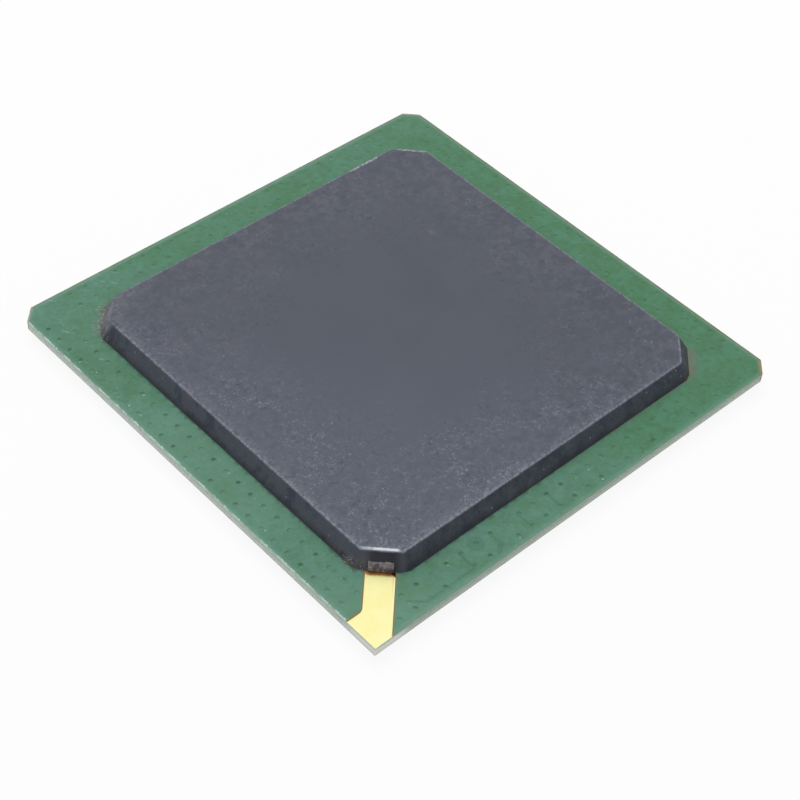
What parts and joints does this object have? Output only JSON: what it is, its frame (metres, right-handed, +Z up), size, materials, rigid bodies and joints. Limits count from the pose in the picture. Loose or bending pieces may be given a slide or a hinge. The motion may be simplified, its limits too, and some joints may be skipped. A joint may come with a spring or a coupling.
{
  "type": "ball grid array chip package",
  "caption": "Square over-moulded ball grid array chip: green laminate with a black bevelled cap, a gold corner gate and a grid of solder balls beneath.",
  "frame": {"origin": "centre of the seating plane that the solder balls stand on", "axes": "+Z up through the cap's flat top; the A1 terminal corner with the gold mould gate is at -X -Y"},
  "size_m": [0.029, 0.029, 0.002],
  "materials": {
    "laminate": "sawn glass-fibre edge, matt",
    "solder_mask": "semi-gloss green solder mask",
    "mould_compound": "fine matt moulded epoxy",
    "gate_gold": "bright gold plating",
    "gold": "gold plating",
    "copper": "plated copper",
    "solder": "reflowed solder, satin",
    "silicon": "polished silicon",
    "die_adhesive": "silver-filled adhesive"
  },
  "bodies": {
    "root": {"laminate": "laminate", "via_barrels": "copper", "thermal_vias": "copper", "solder_mask_top": "solder_mask", "solder_mask_bottom": "solder_mask", "outer_pads": "copper", "inner_pads": "copper", "thermal_pad": "copper", "outer_balls": "solder", "middle_balls": "solder", "inner_balls": "solder", "thermal_balls": "solder", "via_lands": "copper", "traces_right": "gold", "traces_back": "gold", "traces_left": "gold", "traces_front": "gold", "die_paddle": "gold", "ground_ring": "gold", "power_ring": "gold", "die_attach": "die_adhesive", "die": "silicon", "wires_right": "gold", "wires_back": "gold", "wires_left": "gold", "wires_front": "gold", "ground_wires": "gold", "power_wires": "gold", "mould_gate": "gate_gold", "mould_cap": "mould_compound"}
  },
  "joints": []
}
